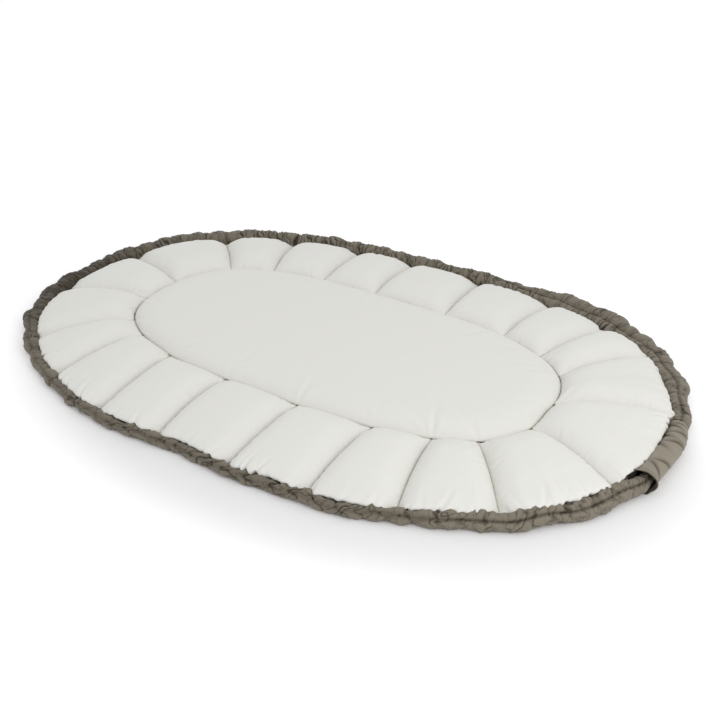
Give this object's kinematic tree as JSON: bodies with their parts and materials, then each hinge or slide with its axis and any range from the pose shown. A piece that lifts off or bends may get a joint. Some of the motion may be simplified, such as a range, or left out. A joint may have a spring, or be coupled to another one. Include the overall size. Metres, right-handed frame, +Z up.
{
  "type": "infant lounger",
  "caption": "Oval quilted infant lounger opened flat: cream stuffed chambers round a long centre pad, with a taupe drawstring rim that folds up into a nest.",
  "frame": {"origin": "on the floor under the middle of the centre pad, on the flat face of its underside", "axes": "+X along the lounger to the foot end with the cord closure, +Y across it, +Z up from the floor"},
  "size_m": [1.0522, 0.7102, 0.048],
  "materials": {
    "cream_cotton": "matte",
    "taupe_cotton": "matte",
    "kapok_filling": "matte",
    "taupe_cord": "matte",
    "lock_plastic": "matte",
    "spring_steel": "satin"
  },
  "bodies": {
    "centre": {"centre_filling": "kapok_filling", "centre_top_cover": "cream_cotton", "centre_underside": "taupe_cotton", "drawstring": "taupe_cord"},
    "chamber_01": {"chamber_pad_01": "cream_cotton", "outer_cover_01": "taupe_cotton"},
    "chamber_02": {"chamber_pad_02": "cream_cotton", "outer_cover_02": "taupe_cotton"},
    "chamber_03": {"chamber_pad_03": "cream_cotton", "outer_cover_03": "taupe_cotton"},
    "chamber_04": {"chamber_pad_04": "cream_cotton", "outer_cover_04": "taupe_cotton"},
    "chamber_05": {"chamber_pad_05": "cream_cotton", "outer_cover_05": "taupe_cotton"},
    "chamber_06": {"chamber_pad_06": "cream_cotton", "outer_cover_06": "taupe_cotton"},
    "chamber_07": {"chamber_pad_07": "cream_cotton", "outer_cover_07": "taupe_cotton"},
    "chamber_08": {"chamber_pad_08": "cream_cotton", "outer_cover_08": "taupe_cotton"},
    "chamber_09": {"chamber_pad_09": "cream_cotton", "outer_cover_09": "taupe_cotton"},
    "chamber_10": {"chamber_pad_10": "cream_cotton", "outer_cover_10": "taupe_cotton", "closure_sleeve": "taupe_cotton", "cord_lock_cup": "lock_plastic", "cord_lock_spring": "spring_steel", "cord_end_cap_1": "lock_plastic", "cord_end_cap_2": "lock_plastic"},
    "chamber_11": {"chamber_pad_11": "cream_cotton", "outer_cover_11": "taupe_cotton"},
    "chamber_12": {"chamber_pad_12": "cream_cotton", "outer_cover_12": "taupe_cotton"},
    "chamber_13": {"chamber_pad_13": "cream_cotton", "outer_cover_13": "taupe_cotton"},
    "chamber_14": {"chamber_pad_14": "cream_cotton", "outer_cover_14": "taupe_cotton"},
    "chamber_15": {"chamber_pad_15": "cream_cotton", "outer_cover_15": "taupe_cotton"},
    "chamber_16": {"chamber_pad_16": "cream_cotton", "outer_cover_16": "taupe_cotton"},
    "chamber_17": {"chamber_pad_17": "cream_cotton", "outer_cover_17": "taupe_cotton"},
    "chamber_18": {"chamber_pad_18": "cream_cotton", "outer_cover_18": "taupe_cotton"},
    "chamber_19": {"chamber_pad_19": "cream_cotton", "outer_cover_19": "taupe_cotton"},
    "chamber_20": {"chamber_pad_20": "cream_cotton", "outer_cover_20": "taupe_cotton"},
    "plunger": {"cord_lock_plunger": "lock_plastic"},
    "hem": {"sleeve_hem": "taupe_cotton"}
  },
  "joints": [
    {"name": "fold_10", "type": "hinge", "parent": "centre", "child": "chamber_10", "pos_m": [0.34803, -0.01212, 0.0086], "axis": [-0.0435, -0.9991, 0], "range_deg": [0, 60], "deforming": ["chamber_pad_10", "outer_cover_10", "drawstring"]},
    {"name": "fold_01", "type": "hinge", "parent": "centre", "child": "chamber_01", "pos_m": [-0.32865, -0.07776, 0.0086], "axis": [-0.4752, 0.8799, 0], "range_deg": [0, 60], "deforming": ["chamber_pad_01", "outer_cover_01"]},
    {"name": "fold_02", "type": "hinge", "parent": "centre", "child": "chamber_02", "pos_m": [-0.28488, -0.12856, 0.0086], "axis": [-0.8445, 0.5356, 0], "range_deg": [0, 60], "deforming": ["chamber_pad_02", "outer_cover_02"]},
    {"name": "fold_03", "type": "hinge", "parent": "centre", "child": "chamber_03", "pos_m": [-0.21994, -0.15607, 0.0086], "axis": [-0.9596, 0.2815, 0], "range_deg": [0, 60], "deforming": ["chamber_pad_03", "outer_cover_03"]},
    {"name": "fold_04", "type": "hinge", "parent": "centre", "child": "chamber_04", "pos_m": [-0.12411, -0.17313, 0.0086], "axis": [-0.9955, 0.0946, 0], "range_deg": [0, 60], "deforming": ["chamber_pad_04", "outer_cover_04"]},
    {"name": "fold_05", "type": "hinge", "parent": "centre", "child": "chamber_05", "pos_m": [-0.00521, -0.17856, 0.0086], "axis": [-1, 0.0022, 0], "range_deg": [0, 60], "deforming": ["chamber_pad_05", "outer_cover_05"]},
    {"name": "fold_06", "type": "hinge", "parent": "centre", "child": "chamber_06", "pos_m": [0.11629, -0.17373, 0.0086], "axis": [-0.9964, -0.085, 0], "range_deg": [0, 60], "deforming": ["chamber_pad_06", "outer_cover_06"]},
    {"name": "fold_07", "type": "hinge", "parent": "centre", "child": "chamber_07", "pos_m": [0.21435, -0.15781, 0.0086], "axis": [-0.9641, -0.2655, 0], "range_deg": [0, 60], "deforming": ["chamber_pad_07", "outer_cover_07"]},
    {"name": "fold_08", "type": "hinge", "parent": "centre", "child": "chamber_08", "pos_m": [0.27946, -0.13199, 0.0086], "axis": [-0.8624, -0.5062, 0], "range_deg": [0, 60], "deforming": ["chamber_pad_08", "outer_cover_08"]},
    {"name": "fold_09", "type": "hinge", "parent": "centre", "child": "chamber_09", "pos_m": [0.32563, -0.08291, 0.0086], "axis": [-0.5199, -0.8542, 0], "range_deg": [0, 60], "deforming": ["chamber_pad_09", "outer_cover_09"]},
    {"name": "fold_11", "type": "hinge", "parent": "centre", "child": "chamber_11", "pos_m": [0.32968, 0.06864, 0.0086], "axis": [0.4117, -0.9113, 0], "range_deg": [0, 60], "deforming": ["chamber_pad_11", "outer_cover_11"]},
    {"name": "fold_12", "type": "hinge", "parent": "centre", "child": "chamber_12", "pos_m": [0.28191, 0.12984, 0.0086], "axis": [0.8528, -0.5223, 0], "range_deg": [0, 60], "deforming": ["chamber_pad_12", "outer_cover_12"]},
    {"name": "fold_13", "type": "hinge", "parent": "centre", "child": "chamber_13", "pos_m": [0.22231, 0.15631, 0.0086], "axis": [0.9585, -0.285, 0], "range_deg": [0, 60], "deforming": ["chamber_pad_13", "outer_cover_13"]},
    {"name": "fold_14", "type": "hinge", "parent": "centre", "child": "chamber_14", "pos_m": [0.13485, 0.17191, 0.0086], "axis": [0.994, -0.1095, 0], "range_deg": [0, 60], "deforming": ["chamber_pad_14", "outer_cover_14"]},
    {"name": "fold_15", "type": "hinge", "parent": "centre", "child": "chamber_15", "pos_m": [0.01229, 0.17841, 0.0086], "axis": [1, -0.0055, 0], "range_deg": [0, 60], "deforming": ["chamber_pad_15", "outer_cover_15"]},
    {"name": "fold_16", "type": "hinge", "parent": "centre", "child": "chamber_16", "pos_m": [-0.10458, 0.1753, 0.0086], "axis": [0.9976, 0.0695, 0], "range_deg": [0, 60], "deforming": ["chamber_pad_16", "outer_cover_16"]},
    {"name": "fold_17", "type": "hinge", "parent": "centre", "child": "chamber_17", "pos_m": [-0.19837, 0.16165, 0.0086], "axis": [0.9741, 0.226, 0], "range_deg": [0, 60], "deforming": ["chamber_pad_17", "outer_cover_17"]},
    {"name": "fold_18", "type": "hinge", "parent": "centre", "child": "chamber_18", "pos_m": [-0.2735, 0.1343, 0.0086], "axis": [0.8766, 0.4812, 0], "range_deg": [0, 60], "deforming": ["chamber_pad_18", "outer_cover_18"]},
    {"name": "fold_19", "type": "hinge", "parent": "centre", "child": "chamber_19", "pos_m": [-0.32699, 0.07383, 0.0086], "axis": [0.4559, 0.89, 0], "range_deg": [0, 60], "deforming": ["chamber_pad_19", "outer_cover_19"]},
    {"name": "fold_20", "type": "hinge", "parent": "centre", "child": "chamber_20", "pos_m": [-0.34837, -0.00607, 0.0086], "axis": [-0.0214, 0.9998, 0], "range_deg": [0, 60], "deforming": ["chamber_pad_20", "outer_cover_20"]},
    {"name": "plunger_press", "type": "slide", "parent": "chamber_10", "child": "plunger", "axis": [0, 0, -1], "range_m": [0, 0.0025], "stiffness_N_per_m": 600, "springref_m": -0.002, "deforming": ["cord_lock_spring"]},
    {"name": "sleeve_push_back", "type": "slide", "parent": "chamber_10", "child": "hem", "axis": [0, 1, 0], "range_m": [0, 0.075], "deforming": ["closure_sleeve"]}
  ],
  "couplings": [
    {"joint": "fold_01", "follows": "fold_10", "ratio": 1},
    {"joint": "fold_02", "follows": "fold_10", "ratio": 1},
    {"joint": "fold_03", "follows": "fold_10", "ratio": 1},
    {"joint": "fold_04", "follows": "fold_10", "ratio": 1},
    {"joint": "fold_05", "follows": "fold_10", "ratio": 1},
    {"joint": "fold_06", "follows": "fold_10", "ratio": 1},
    {"joint": "fold_07", "follows": "fold_10", "ratio": 1},
    {"joint": "fold_08", "follows": "fold_10", "ratio": 1},
    {"joint": "fold_09", "follows": "fold_10", "ratio": 1},
    {"joint": "fold_11", "follows": "fold_10", "ratio": 1},
    {"joint": "fold_12", "follows": "fold_10", "ratio": 1},
    {"joint": "fold_13", "follows": "fold_10", "ratio": 1},
    {"joint": "fold_14", "follows": "fold_10", "ratio": 1},
    {"joint": "fold_15", "follows": "fold_10", "ratio": 1},
    {"joint": "fold_16", "follows": "fold_10", "ratio": 1},
    {"joint": "fold_17", "follows": "fold_10", "ratio": 1},
    {"joint": "fold_18", "follows": "fold_10", "ratio": 1},
    {"joint": "fold_19", "follows": "fold_10", "ratio": 1},
    {"joint": "fold_20", "follows": "fold_10", "ratio": 1}
  ]
}
